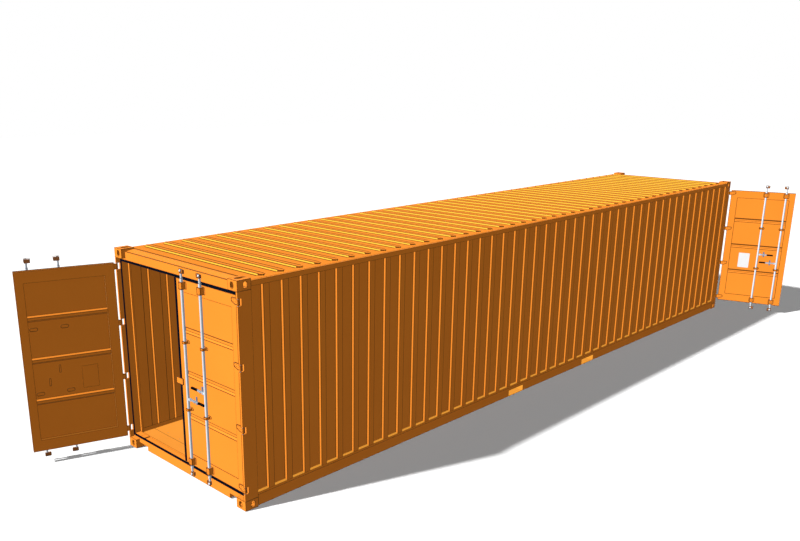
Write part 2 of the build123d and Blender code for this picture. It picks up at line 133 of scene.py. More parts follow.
def edge_lines(radius, dark):
    def add(tree, spot, below):
        soft = step(tree, "ShaderNodeBevel", {"Radius": radius}, samples=4)
        flat = tree.nodes.new("ShaderNodeNewGeometry").outputs["True Normal"]
        likeness = step(tree, "ShaderNodeVectorMath", [soft, flat], operation="DOT_PRODUCT")
        likeness = likeness.node.outputs["Value"]
        share = step(tree, "ShaderNodeMapRange", {"Value": likeness, "From Min": nearly_flat,
                                                  "From Max": rounded})
        return mixed(tree, share, below, dark)
    return add


# Painted highlight: faces of the roof ribs that slope away from flat get a lighter yellow. Painted shade:
# faces turned along Y, the ends of the ribs, get dark brown.
def slope_highlight_and_tip_shade(colour, tip_shade_colour):
    def add(tree, spot, below):
        way = step(tree, "ShaderNodeSeparateXYZ", [spot["Normal"]]).node.outputs
        share = step(tree, "ShaderNodeMapRange", {"Value": way["Z"], "From Min": 0.9, "From Max": 0.5})
        below = mixed(tree, share, below, colour)
        tip_in_shade = calc(tree, "GREATER_THAN", calc(tree, "ABSOLUTE", way["Y"]), 0.3)
        return mixed(tree, tip_in_shade, below, tip_shade_colour)
    return add


# Painted highlight: faces that slope up like the rail's ledge get a lighter orange.
def ledge_highlight(colour):
    def add(tree, spot, below):
        way = step(tree, "ShaderNodeSeparateXYZ", [spot["Normal"]]).node.outputs
        return mixed(tree, calc(tree, "COMPARE", way["Z"], 0.85, 0.1), below, colour)
    return add


def end_tone(low, high, colour):
    def add(tree, spot, below):
        at = step(tree, "ShaderNodeSeparateXYZ", [spot["Object"]]).node.outputs
        over = calc(tree, "GREATER_THAN", at["Z"], high)
        share = calc(tree, "ADD", over, calc(tree, "LESS_THAN", at["Z"], low))
        return mixed(tree, share, below, colour)
    return add


# Painted shade: faces that stand across the leaf's front, its narrow edges, get a deeper colour.
def edge_face_shade(way, colour):
    def add(tree, spot, below):
        along = step(tree, "ShaderNodeVectorMath", [spot["Normal"], way], operation="DOT_PRODUCT")
        along = calc(tree, "ABSOLUTE", along.node.outputs["Value"])
        return mixed(tree, calc(tree, "LESS_THAN", along, 0.5), below, colour)
    return add


# %% A layer for the bends of the pressed ribs
def bend_lines(first, run, crest, wide, limit, dark):
    def add(tree, spot, below):
        at = step(tree, "ShaderNodeSeparateXYZ", [spot["Object"]]).node.outputs
        middle = first + run + crest / 2
        turns = calc(tree, "SUBTRACT", at["X"], middle)
        turns = calc(tree, "MULTIPLY_ADD", turns, 1 / pitch, 0.5)
        away = calc(tree, "SUBTRACT", calc(tree, "FRACT", turns), 0.5)
        away = calc(tree, "MULTIPLY", calc(tree, "ABSOLUTE", away), pitch)
        on_crest = calc(tree, "COMPARE", away, (crest - wide) / 2, wide / 2)
        on_base = calc(tree, "COMPARE", away, (crest + wide) / 2 + run, wide / 2)
        inside = calc(tree, "LESS_THAN", calc(tree, "ABSOLUTE", at["Y"]), limit)
        share = calc(tree, "MULTIPLY", inside, calc(tree, "ADD", on_crest, on_base))
        return mixed(tree, share, below, dark)
    return add


# %% [markdown]
# All the painted steel has one orange. It gets its own finish where the edges or the ribs need
# other lines or painted light: the small fittings have bold lines, the bottom rail has a painted
# highlight on its ledge, the roof has a painted highlight on the slopes of its ribs and painted shade
# on their ends, and the ribs of the walls and of the roof have lines at their bends. So the sizes of
# the ribs come first. The bars are galvanised pipe, the handles bright steel, and the seals and grips
# black rubber.

# %% Sizes that the finishes share with the shapes
half_long = 6.096
half_wide = 1.219
casting_long = 0.178
run_half = half_long - casting_long
pitch = 0.2649
wall_rib = {"Lead": 0.147, "Slope run": 0.0095, "Crest": 0.085}
roof_rib = {"Lead": 0.1765, "Slope run": 0.0062, "Crest": 0.086}
roof_rib_stop = half_wide - 0.118
foot_of_bar = 0.1135
head_of_bar = 2.4935
print("one rib each", pitch, "m along", 2 * run_half, "m")

# %% The finishes of this container
paint = (0.99, 0.293, 0.0285)
thin_line = (0.16, 0.050, 0.005)
# Painted shade for the ends of the roof ribs.
bold_line = (0.03, 0.010, 0.002)
tip_shade_brown = (0.22, 0.060, 0.008)
plain = {"spread": 0.025, "rough": 0.62, "shine": 0.05}
orange = finish("orange_paint", paint, **plain, layers=[edge_lines(0.010, thin_line)])
fitting_orange = finish("fitting_paint", paint, **plain, layers=[edge_lines(0.016, bold_line)])
# The ledge of the bottom rail has a painted highlight.
rail_orange_with_highlight = finish("rail_paint_and_highlight", paint, **plain, layers=[
    ledge_highlight((1.0, 0.40, 0.045)), edge_lines(0.010, thin_line)])
wall_orange = finish("wall_paint", paint, **plain, layers=[
    bend_lines(wall_rib["Lead"] - run_half, wall_rib["Slope run"], wall_rib["Crest"], 0.0068,
               half_wide, thin_line),
    edge_lines(0.004, thin_line)])
# The roof has a painted highlight on the slopes of its ribs and painted shade on their ends.
roof_orange_lit_and_shaded = finish("roof_paint_highlight_and_shade", (0.90, 0.268, 0.026), spread=0.025, rough=0.7, shine=0.02, layers=[
    slope_highlight_and_tip_shade((0.80, 0.475, 0.044), tip_shade_brown),
    bend_lines(roof_rib["Lead"] - run_half, roof_rib["Slope run"], roof_rib["Crest"], 0.021,
               roof_rib_stop, thin_line)])
floor_orange = finish("orange_floor_board", (0.90, 0.31, 0.034), spread=0.05, rough=0.65,
                      grain=25.0, shine=0.1, layers=[edge_lines(0.008, thin_line)])
frame_paint = finish("underframe_paint", (0.80, 0.30, 0.030), spread=0.05, rough=0.6, shine=0.1)
line_look = {"spread": 0.1, "rough": 0.6, "cloud": 20.0, "shine": 0.1}
seam_paint = finish("seam_paint", (0.20, 0.065, 0.006), **line_look)
dark_paint = finish("rim_paint", (0.07, 0.024, 0.004), **line_look)
rubber = finish("seal_rubber", (0.0015, 0.003, 0.009), spread=0.2, rough=0.75, grain=120.0,
                shine=0.02)
grip_rubber = finish("grip_rubber", (0.002, 0.002, 0.003), spread=0.2, rough=0.8, grain=200.0,
                     shine=0.03)
print("paint, seams and rubber mixed")

# %% The finishes of the bars, the handles and the plates
zinc = finish("galvanised_pipe", (0.78, 0.85, 0.94), spread=0.05, rough=0.36, metal=0.05,
              cloud=12.0, shine=0.5, layers=[
                  end_tone(foot_of_bar, head_of_bar, (0.42, 0.13, 0.014)),
                  edge_lines(0.008, (0.05, 0.03, 0.03))])
cap_zinc = finish("galvanised_cap", (0.86, 0.90, 0.95), spread=0.05, rough=0.36, metal=0.05,
                  cloud=12.0, shine=0.5)
steel = finish("handle_steel", (0.52, 0.60, 0.70), spread=0.08, rough=0.35, metal=0.4,
               cloud=15.0, shine=0.5, layers=[edge_lines(0.004, (0.02, 0.02, 0.03))])
catch = finish("retainer_paint", (0.16, 0.22, 0.32), spread=0.1, rough=0.45, metal=0.2,
               cloud=15.0, shine=0.5)
white = finish("white_plate", (0.86, 0.86, 0.86), spread=0.015, rough=0.35, cloud=6.0, shine=0.4)
by_slot = {"orange_paint": orange, "brown_orange_paint": frame_paint, "floor_board": floor_orange,
           "seal_rubber": rubber, "galvanised": zinc, "handle_steel": steel,
           "retainer_steel": catch, "white_plate": white}
for row in frame["record"]["subparts"]:
    coat = by_slot[row["material_slot"]]
    if row["node"].endswith(("fittings", "lap_plate", "corner_castings")):
        coat = fitting_orange
    if row["node"] == "bottom_side_rails":
        coat = rail_orange_with_highlight
    nodes[row["node"]].data.materials.clear()
    nodes[row["node"]].data.materials.append(coat)
print(len(by_slot), "finishes on", len(nodes), "nodes")

# %% [markdown]
# Several pieces of a container follow a rule: the walls and the roof repeat one pressed rib, the
# weld seams follow straight joints, and bolts sit in rows. Geometry Nodes suit all of these, because
# a tree keeps the rule and its sizes together. The helpers below add a node, finish a tree and
# bake the result into a plain mesh, so that each tree later reads as a short list of steps.

# %% Helpers for Geometry Nodes
def start_tree(name, sizes):
    tree = bpy.data.node_groups.new(name, "GeometryNodeTree")
    tree.interface.new_socket("Result", in_out="OUTPUT", socket_type="NodeSocketGeometry")
    for label, kind in sizes:
        tree.interface.new_socket(label, in_out="INPUT", socket_type="NodeSocket" + kind)
    return tree, tree.nodes.new("NodeGroupInput").outputs


def end_tree(tree, shape, coat):
    whole = step(tree, "GeometryNodeRealizeInstances", [shape])
    coated = step(tree, "GeometryNodeSetMaterial", {"Geometry": whole, "Material": coat})
    tree.links.new(coated, tree.nodes.new("NodeGroupOutput").inputs[0])


def grow(tree, name, values, body, base=None, instead_of=()):
    piece = bpy.data.objects.new(name, base or bpy.data.meshes.new(name + "_base"))
    bpy.context.scene.collection.objects.link(piece)
    change = piece.modifiers.new("shape", "NODES")
    change.node_group = tree
    for item in tree.interface.items_tree:
        if item.in_out == "INPUT" and item.name in values:
            change[item.identifier] = values[item.name]
    ready = piece.evaluated_get(bpy.context.evaluated_depsgraph_get())
    result = bpy.data.meshes.new_from_object(ready)
    piece.modifiers.clear()
    piece.data = result
    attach(piece, body)
    if instead_of:
        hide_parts(*instead_of)
    print(name, len(result.polygons), "faces")
    return piece


# %% [markdown]
# The side walls and the roof are one kind of sheet: flat steel pressed into ribs at a steady pitch.
# It could be cut from a displaced plane, but the bends would blur. Here a grid gets one column of
# points on each side of every bend, which rounds it a little, and the height of each point comes
# from its distance along the rib. The ribs of the roof narrow to points before the edge, and the
# foot of a wall is cut to the slope of the ledge that it stands on.

# %% A tree for pressed sheet
sheet_tree, use = start_tree("pressed_sheet", [
    ("Ribs", "Int"), ("Pitch", "Float"), ("Lead", "Float"), ("Half length", "Float"),
    ("Slope run", "Float"), ("Crest", "Float"), ("Rise", "Float"), ("Half width", "Float"),
    ("End inset", "Float"), ("Tip run", "Float"), ("Tip share", "Float"), ("Open ends", "Float"),
    ("Skirt at start", "Float"), ("Skirt at end", "Float"), ("Bend", "Float"), ("Sheet", "Float"),
    ("Stand", "Rotation"), ("Shift", "Vector"), ("Finish", "Material")])
t = sheet_tree
columns = calc(t, "MULTIPLY_ADD", use["Ribs"], 8, 2)
grid = step(t, "GeometryNodeMeshGrid", {"Size X": 1.0, "Size Y": 1.0, "Vertices X": columns,
                                        "Vertices Y": 8})
index = step(t, "GeometryNodeInputIndex", [])
column = calc(t, "FLOOR", calc(t, "DIVIDE", calc(t, "ADD", index, 0.01), 8))
row = calc(t, "SUBTRACT", index, calc(t, "MULTIPLY", column, 8))
number = calc(t, "SUBTRACT", column, 1)
rib = calc(t, "FLOOR", calc(t, "DIVIDE", calc(t, "ADD", number, 0.01), 8))
rib = calc(t, "MAXIMUM", 0, calc(t, "MINIMUM", rib, calc(t, "SUBTRACT", use["Ribs"], 1)))
spot = calc(t, "SUBTRACT", number, calc(t, "MULTIPLY", rib, 8))
slopes = calc(t, "ADD", calc(t, "GREATER_THAN", spot, 1.5), calc(t, "GREATER_THAN", spot, 5.5))
crests = calc(t, "GREATER_THAN", spot, 3.5)
side = calc(t, "MULTIPLY_ADD", calc(t, "MODULO", calc(t, "ADD", spot, 8), 2), 2, -1)
rib_start = calc(t, "MULTIPLY_ADD", rib, use["Pitch"], calc(t, "SUBTRACT", use["Lead"],
                                                           use["Half length"]))
along = calc(t, "MULTIPLY_ADD", slopes, use["Slope run"], rib_start)
along = calc(t, "MULTIPLY_ADD", crests, use["Crest"], along)
along = calc(t, "MULTIPLY_ADD", side, use["Bend"], along)
along = calc(t, "MINIMUM", along, use["Half length"])
first = calc(t, "LESS_THAN", column, 0.5)
final = calc(t, "GREATER_THAN", column, calc(t, "SUBTRACT", columns, 1.5))
edge = calc(t, "MULTIPLY", use["Half length"], calc(t, "SUBTRACT", final, first))
inner = calc(t, "SUBTRACT", calc(t, "SUBTRACT", 1, first), final)
along = calc(t, "MULTIPLY_ADD", along, inner, edge)

# %% The height of each point of the sheet
local = calc(t, "SUBTRACT", along, rib_start)
rib_long = calc(t, "MULTIPLY_ADD", use["Slope run"], 2, use["Crest"])
up_side = calc(t, "DIVIDE", local, use["Slope run"])
down_side = calc(t, "DIVIDE", calc(t, "SUBTRACT", rib_long, local), use["Slope run"])
share = calc(t, "MINIMUM", up_side, down_side)
share = calc(t, "MAXIMUM", 0, calc(t, "MINIMUM", 1, share))
from_middle = calc(t, "SUBTRACT", row, 3.5)
step_out = calc(t, "ABSOLUTE", from_middle)
inside_edge = calc(t, "LESS_THAN", step_out, 3)
on_top = calc(t, "LESS_THAN", step_out, 2)
full_wide = calc(t, "LESS_THAN", step_out, 1)
taper = calc(t, "SUBTRACT", use["Tip run"], use["Slope run"])
drawn_in = calc(t, "MULTIPLY", use["End inset"], inside_edge)
drawn_in = calc(t, "MULTIPLY_ADD", use["Slope run"], on_top, drawn_in)
drawn_in = calc(t, "MULTIPLY_ADD", taper, full_wide, drawn_in)
across = calc(t, "SUBTRACT", use["Half width"], drawn_in)
across = calc(t, "MULTIPLY", across, calc(t, "SIGN", from_middle))
height = calc(t, "MULTIPLY", share, calc(t, "MAXIMUM", on_top, use["Open ends"]))
height = calc(t, "MULTIPLY", height, use["Rise"])
gap_share = calc(t, "SUBTRACT", 1, share)
low_stop = calc(t, "MULTIPLY", calc(t, "MULTIPLY", gap_share, use["Skirt at start"]), -1)
low_stop = calc(t, "MULTIPLY", calc(t, "ADD", use["Half width"], low_stop), -1)
high_stop = calc(t, "SUBTRACT", use["Half width"], calc(t, "MULTIPLY", gap_share, use["Skirt at end"]))
across = calc(t, "MINIMUM", calc(t, "MAXIMUM", across, low_stop), high_stop)

# %% The points of the ribs
middle = calc(t, "MULTIPLY_ADD", rib_long, 0.5, rib_start)
pinch = calc(t, "MULTIPLY", calc(t, "SUBTRACT", 1, use["Tip share"]), inner)
pinch = calc(t, "MULTIPLY", pinch, calc(t, "SUBTRACT", 1, full_wide))
back_to_middle = calc(t, "MULTIPLY", calc(t, "SUBTRACT", middle, along), pinch)
along = calc(t, "ADD", along, back_to_middle)
place = step(t, "ShaderNodeCombineXYZ", [along, across, calc(t, "SUBTRACT", height, use["Sheet"])])

# %% The thickness of the sheet
under_side = step(t, "GeometryNodeSetPosition", {"Geometry": grid, "Position": place})
under_side = step(t, "GeometryNodeMergeByDistance", {"Geometry": under_side, "Distance": 0.0002})
lift = step(t, "ShaderNodeCombineXYZ", [0.0, 0.0, use["Sheet"]])
upper = step(t, "GeometryNodeExtrudeMesh", {"Mesh": under_side, "Offset": lift,
                                            "Offset Scale": 1.0, "Individual": False})
lower = step(t, "GeometryNodeFlipFaces", {"Mesh": under_side})
both = t.nodes.new("GeometryNodeJoinGeometry")
t.links.new(upper, both.inputs[0])
t.links.new(lower, both.inputs[0])
closed = step(t, "GeometryNodeMergeByDistance", {"Geometry": both.outputs[0], "Distance": 0.0002})
stood = step(t, "GeometryNodeTransform", {"Geometry": closed, "Translation": use["Shift"],
                                          "Rotation": use["Stand"]})
end_tree(t, stood, use["Finish"])
print("pressed sheet tree has", len(t.nodes), "nodes")

# %% The two side walls and the roof
wall_foot = 0.170
wall_top = 2.505
wall_face = 1.190
ledge_skirt = 0.0161
wall = {**wall_rib, "Ribs": 45, "Pitch": pitch, "Half length": run_half, "Rise": 0.026,
        "Half width": (wall_top - wall_foot) / 2, "End inset": 0.0, "Tip run": 0.1,
        "Tip share": 1.0, "Open ends": 1.0, "Bend": 0.002, "Sheet": 0.003, "Finish": wall_orange}
mid_height = (wall_top + wall_foot) / 2
turn = math.pi / 2
grow(sheet_tree, "right_wall_sheet", {**wall, "Skirt at start": ledge_skirt,
                                      "Stand": (turn, 0, 0), "Shift": (0, -wall_face, mid_height)},
     "container", instead_of=["right_side_wall"])
grow(sheet_tree, "left_wall_sheet", {**wall, "Skirt at end": ledge_skirt,
                                     "Stand": (-turn, 0, 0), "Shift": (0, wall_face, mid_height)},
     "container", instead_of=["left_side_wall"])
roof_inset = 0.024
roof_base = 2.568
roof = {**wall, **roof_rib, "Ribs": 44, "Rise": 0.017, "Half width": half_wide - roof_inset,
        "End inset": 0.050, "Tip run": 0.045, "Tip share": 0.2, "Open ends": 0.0, "Bend": 0.0012,
        "Stand": (0, 0, 0), "Shift": (0, 0, roof_base), "Finish": roof_orange_lit_and_shaded}
grow(sheet_tree, "roof_sheet", roof, "container", instead_of=["roof_panel"])

# %% [markdown]
# The four leaves are one drawing, closed at the left of the near end. A leaf of the other side is
# its mirror image, one of the far end is turned half round, and two of them stand open about their
# pins. The small pieces below are drawn once on that closed leaf, and a matrix carries their points
# to each of the four places. The narrow faces round a leaf carry painted shade, a deeper colour than
# its front, so each leaf has a paint that knows which way its own front is turned.

# %% The four places of a leaf
pin = Vector((0.012, 1.207, 0))
to_end = Matrix.Translation((-half_long, 0, 0))
half_turn = Matrix.Rotation(math.pi, 4, "Z")
mirrored = Matrix.Diagonal((1, -1, 1, 1))


def opened(degrees):
    swing = Matrix.Rotation(-math.radians(degrees), 4, "Z")
    return Matrix.Translation(pin) @ swing @ Matrix.Translation(-pin)


places = {"near_left": to_end @ opened(107.8), "near_right": to_end @ mirrored,
          "far_left": half_turn @ to_end @ opened(162.9), "far_right": half_turn @ to_end @ mirrored}

# %% Paint of the leaves, with painted shade on their edges
# Painted shade for the narrow faces round each leaf.
leaf_edge_shade_colour = (0.30, 0.095, 0.009)
for leaf, matrix in places.items():
    front_way = matrix.to_3x3() @ Vector((1, 0, 0))
    leaf_paint_with_edge_shade = finish(leaf + "_paint", paint, **plain, layers=[
        edge_face_shade(front_way[:], leaf_edge_shade_colour), edge_lines(0.010, thin_line)])
    nodes[leaf + "_leaf_frame"].data.materials[0] = leaf_paint_with_edge_shade
print("four leaf frames painted")

# %% [markdown]
# Joints between painted steel parts show as thin lines: a weld bead where a casting meets a post or
# a rail, and a bead of sealant where a leaf's sheet meets its frame. A round section swept along
# each joint gives that line, and it sits half in the surface. The same tree also draws the outline
# of each plate on a leaf and the gasket at its edge.

# %% A tree for seams
seam_tree, use = start_tree("seam", [("Paths", "Geometry"), ("Radius", "Float"),
                                     ("Finish", "Material")])
line = step(seam_tree, "GeometryNodeMeshToCurve", {"Mesh": use["Paths"]})
ring = step(seam_tree, "GeometryNodeCurvePrimitiveCircle", {"Resolution": 6,
                                                            "Radius": use["Radius"]})
bead = step(seam_tree, "GeometryNodeCurveToMesh", {"Curve": line, "Profile Curve": ring,
                                                   "Fill Caps": True})
end_tree(seam_tree, bead, use["Finish"])


def path_mesh(name, paths):
    points = []
    edges = []
    for path in paths:
        first_point = len(points)
        points += [tuple(p) for p in path]
        edges += [(first_point + i, first_point + i + 1) for i in range(len(path) - 1)]
    mesh = bpy.data.meshes.new(name)
    mesh.from_pydata(points, edges, [])
    return mesh


# %% Weld seams of the corners
casting_top = 0.118
casting_foot = 2.473
seams = []
for end in (-1, 1):
    for hand in (-1, 1):
        x0 = end * half_long
        x1 = end * run_half
        y = hand * half_wide
        for z in (casting_top, casting_foot):
            seams.append([(x0, hand * 1.192, z), (x0, y, z), (x1, y, z)])
        seams.append([(x1, y, 0.017), (x1, y, casting_top)])
        seams.append([(x1, y, 2.507), (x1, y, 2.563)])
        wall_end = (x1 - end * 0.001, hand * wall_face)
        seams.append([(*wall_end, 0.19), (*wall_end, 2.503)])

# %% Lines down the posts, broken at the hinges
hinge_rows = [0.245 + i * (2.360 - 0.245) / 3 for i in range(4)]
hinge_room = 0.046
post_stops = [casting_top]
for z in hinge_rows:
    post_stops += [z - hinge_room, z + hinge_room]
post_stops.append(casting_foot)
for end in (-1, 1):
    for hand in (-1, 1):
        post_line = (end * half_long, hand * 1.1925)
        for low_stop, high_stop in zip(post_stops[::2], post_stops[1::2]):
            seams.append([(*post_line, low_stop), (*post_line, high_stop)])
grow(seam_tree, "corner_seams", {"Radius": 0.003, "Finish": seam_paint}, "container",
     base=path_mesh("corner_paths", seams))

# %% Sealant round each leaf's sheet
front = 0.054
line_size = {"near_left": 0.0040, "near_right": 0.0040, "far_left": 0.0062, "far_right": 0.0062}
pane = [(0.120, 0.315), (1.040, 0.315), (1.040, 2.275), (0.120, 2.275), (0.120, 0.315)]
for leaf, matrix in places.items():
    loop = [matrix @ Vector((front, y, z)) for y, z in pane]
    grow(seam_tree, leaf + "_sealant", {"Radius": line_size[leaf], "Finish": seam_paint}, leaf + "_leaf",
         base=path_mesh(leaf + "_pane", [loop]))

# %% [markdown]
# The plates that carry the bars, the guides and the retainers are cut with small corners taken
# off. Their outline is a loop of eight points, swept like the seams, on both faces of the leaf. The
# far leaves get wider beads, because a drawing gives its lines one width, near and far.

# %% Outlines of the plates on a leaf
def plate_loop(x, y, z, half_y, half_z, nick):
    corners = []
    for sy, sz in ((1, 1), (-1, 1), (-1, -1), (1, -1)):
        a = (x, y + sy * half_y, z + sz * (half_z - nick))
        b = (x, y + sy * (half_y - nick), z + sz * half_z)
        corners += [a, b] if sy == sz else [b, a]
    return corners + corners[:1]


bar_places = (0.530, 0.178)
guide_places = (0.8931, 1.7027)
bracket_places = (0.241, 2.357)
retainer_places = ((0.428, 1.182), (0.301, 1.026))
outlines = [plate_loop(0.057, y, z, 0.045, 0.020, 0.012) for y in bar_places for z in guide_places]
outlines += [plate_loop(0.057, y, z, 0.009, 0.048, 0.004) for y, z in retainer_places]
outlines += [plate_loop(0.0495, y, z, 0.046, 0.042, 0.006) for y in bar_places
             for z in bracket_places]
outlines += [plate_loop(0.0535, y, z, 0.040, 0.016, 0.006) for y in bar_places
             for z in guide_places]
trough_rows = (0.7968, 1.3169, 1.8371)
trough_bends = ((0.0555, -0.036), (0.0835, -0.017), (0.0835, 0.017), (0.0555, 0.036))
for z in trough_rows:
    for x, dz in trough_bends:
        outlines.append([(x, 0.122, z + dz), (x, 1.038, z + dz)])
for leaf, matrix in places.items():
    loops = [[matrix @ Vector(p) for p in line] for line in outlines]
    grow(seam_tree, leaf + "_outlines", {"Radius": line_size[leaf], "Finish": seam_paint}, leaf + "_leaf",
         base=path_mesh(leaf + "_outline_paths", loops))

# %% Rims of the hinge blades, the brackets and the overlap plates
blade = [(1.181, 0.035), (1.083, 0.035), (1.074, 0.026), (1.074, -0.004), (1.083, -0.013),
         (1.134, -0.035), (1.181, -0.035)]
clamp_front = -0.0012
rims = [[(0.0275, y, z + dz) for y, dz in blade] for z in hinge_rows]
rims += [plate_loop(clamp_front, y, z, 0.030, 0.042, 0.003) for y in bar_places
         for z in bracket_places]
rims += [plate_loop(clamp_front, y, z, 0.026, 0.015, 0.003) for y in bar_places
         for z in guide_places]
rim_size = {"near_left": 0.0034, "near_right": 0.0034, "far_left": 0.0040, "far_right": 0.0040}
lap_rim = plate_loop(0.0383, -0.004, 1.192, 0.064, 0.038, 0.003)
for leaf, matrix in places.items():
    here = rims + ([lap_rim] if leaf.endswith("right") else [])
    loops = [[matrix @ Vector(p) for p in line] for line in here]
    grow(seam_tree, leaf + "_rims", {"Radius": rim_size[leaf], "Finish": dark_paint}, leaf + "_leaf",
         base=path_mesh(leaf + "_rim_paths", loops))

# %% Gaskets at the edges of the leaves
rim = [(0.022, 0.171), (1.1605, 0.171), (1.1605, 2.419), (0.022, 2.419)]
for leaf, matrix in places.items():
    loop = [matrix @ Vector((0.053, y, z)) for y, z in rim]
    grow(seam_tree, leaf + "_gasket", {"Radius": 0.003, "Finish": rubber}, leaf + "_leaf",
         base=path_mesh(leaf + "_rim", [loop]))
    if leaf.endswith("right"):
        edge = [matrix @ Vector((0.052, 0.026, z)) for z in (0.177, 2.413)]
        grow(seam_tree, leaf + "_meeting_bead", {"Radius": 0.0065, "Finish": rubber}, leaf + "_leaf",
             base=path_mesh(leaf + "_meeting_path", [edge]))

# %% [markdown]
# Bolt heads and rivets hold the brackets, the hinge blades and the small plates, and screws hold
# the floor. Each is a low cone with its point cut off, placed on a list of points by a tree, and an
# attribute on each point says which way the head faces.

# %% A tree for bolt heads
head_tree, use = start_tree("bolt_heads", [("Spots", "Geometry"), ("Radius", "Float"),
                                           ("Height", "Float"), ("Finish", "Material")])
t = head_tree
head = step(t, "GeometryNodeMeshCone", {"Vertices": 10, "Radius Bottom": use["Radius"],
                                        "Radius Top": calc(t, "MULTIPLY", use["Radius"], 0.62),
                                        "Depth": use["Height"]})
way = step(t, "GeometryNodeInputNamedAttribute", {"Name": "facing"}, data_type="FLOAT_VECTOR")
turned = step(t, "FunctionNodeAlignRotationToVector", {"Vector": way}, axis="Z")
spread_out = step(t, "GeometryNodeInstanceOnPoints", {"Points": use["Spots"], "Instance": head,
                                                      "Rotation": turned})
end_tree(t, spread_out, use["Finish"])


def spot_mesh(name, spots, matrix):
    mesh = bpy.data.meshes.new(name)
    mesh.from_pydata([tuple(matrix @ Vector(at)) for at, way in spots], [], [])
    ways = mesh.attributes.new("facing", "FLOAT_VECTOR", "POINT")
    for i, (at, way) in enumerate(spots):
        ways.data[i].vector = matrix.to_3x3() @ Vector(way)
    return mesh


# %% Bolts and rivets of a leaf
out_front = (-1, 0, 0)
heads = []
for z in hinge_rows:
    for y in (1.150, 1.118, 1.090):
        heads.append(((0.028, y, z + 0.018), out_front))
        heads.append(((0.028, y, z - 0.006), out_front))
for y in bar_places:
    for z in bracket_places:
        for dy in (-0.023, 0.023):
            for dz in (-0.033, 0.033):
                heads.append(((-0.0015, y + dy, z + dz), out_front))
    for z in guide_places:
        for dy in (-0.020, 0.020):
            heads.append(((-0.0015, y + dy, z), out_front))
plate_heads = [((0.051, y, z), out_front) for y in (0.866, 0.682) for z in (0.898, 1.170)]
for leaf, matrix in places.items():
    grow(head_tree, leaf + "_bolts", {"Radius": 0.0055, "Height": 0.0025, "Finish": orange},
         leaf + "_leaf", base=spot_mesh(leaf + "_spots", heads, matrix))
    if leaf.endswith("left"):
        grow(head_tree, leaf + "_plate_rivets", {"Radius": 0.004, "Height": 0.0015, "Finish": steel},
             leaf + "_leaf", base=spot_mesh(leaf + "_rivets", plate_heads, matrix))

# %% [markdown]
# Each bar ends in a forged head with a round boss. The boss is the same low cone as a bolt head,
# only larger, and a dark ring round it and a line round the head part the two. These pieces ride
# on the bar, since they turn with it.

# %% Paths round the caps and round the heads
head_heights = (2.526, 0.081)
cap_front = 0.009
ring_radius = 0.0175
turns = [i * math.pi / 8 for i in range(17)]


def head_lines(y, sign):
    paths = []
    for z in head_heights:
        paths.append([(cap_front, y + ring_radius * math.cos(angle),
                       z + ring_radius * math.sin(angle)) for angle in turns])
        paths.append(plate_loop(0.010, y + sign * 0.013, z, 0.035, 0.0225, 0.005))
    return paths


# %% Caps and dark rings on the heads of the bars
for leaf, matrix in places.items():
    for arm, y, sign in (("bar_a", bar_places[0], -1), ("bar_b", bar_places[1], 1)):
        bar = leaf + "_" + arm
        caps = [((cap_front, y, z), out_front) for z in head_heights]
        grow(head_tree, bar + "_caps", {"Radius": 0.016, "Height": 0.010, "Finish": cap_zinc},
             bar, base=spot_mesh(leaf + arm + "_cap_spots", caps, matrix))
        rings = [[matrix @ Vector(p) for p in path] for path in head_lines(y, sign)]
        grow(seam_tree, bar + "_rings", {"Radius": 0.0030, "Finish": dark_paint}, bar,
             base=path_mesh(leaf + arm + "_ring_paths", rings))

# %% Screws of the floor
floor_top = 0.132
screw_step = (0.300, 0.27)
screws = []
for i in range(-19, 20):
    for j in range(-4, 4):
        at = (i * screw_step[0] + 0.004, 0.13 + j * screw_step[1], floor_top)
        screws.append((at, (0, 0, 1)))
grow(head_tree, "floor_screws", {"Radius": 0.006, "Height": 0.0012, "Finish": steel}, "container",
     base=spot_mesh("screw_spots", screws, Matrix.Identity(4)))

# %% [markdown]
# Each handle ends in a black grip. It is a sleeve over the round end of the handle, with shallow
# rings for the fingers, so it is a line swept by a circle whose size follows the rule of a ripple.

# %% A tree for grips
grip_tree, use = start_tree("grip", [("Start", "Vector"), ("End", "Vector"), ("Radius", "Float"),
                                     ("Ripple", "Float"), ("Rings", "Float"),
                                     ("Finish", "Material")])
t = grip_tree
rod = step(t, "GeometryNodeCurvePrimitiveLine", {"Start": use["Start"], "End": use["End"]})
rod = step(t, "GeometryNodeResampleCurve", {"Curve": rod, "Count": 41})
along = step(t, "GeometryNodeSplineParameter", [])
wave = calc(t, "COSINE", calc(t, "MULTIPLY", calc(t, "MULTIPLY", along, use["Rings"]), 2 * math.pi))
nearness = calc(t, "MINIMUM", along, calc(t, "SUBTRACT", 1, along))
ends = calc(t, "MINIMUM", 1, calc(t, "MULTIPLY_ADD", nearness, 14, 0.72))
swell = calc(t, "MULTIPLY_ADD", wave, calc(t, "MULTIPLY", use["Ripple"], -1), use["Radius"])
round_section = step(t, "GeometryNodeCurvePrimitiveCircle", {"Resolution": 16, "Radius": 1.0})
sleeve = step(t, "GeometryNodeCurveToMesh", {"Curve": rod, "Profile Curve": round_section,
                                             "Scale": calc(t, "MULTIPLY", swell, ends),
                                             "Fill Caps": True})
end_tree(t, sleeve, use["Finish"])

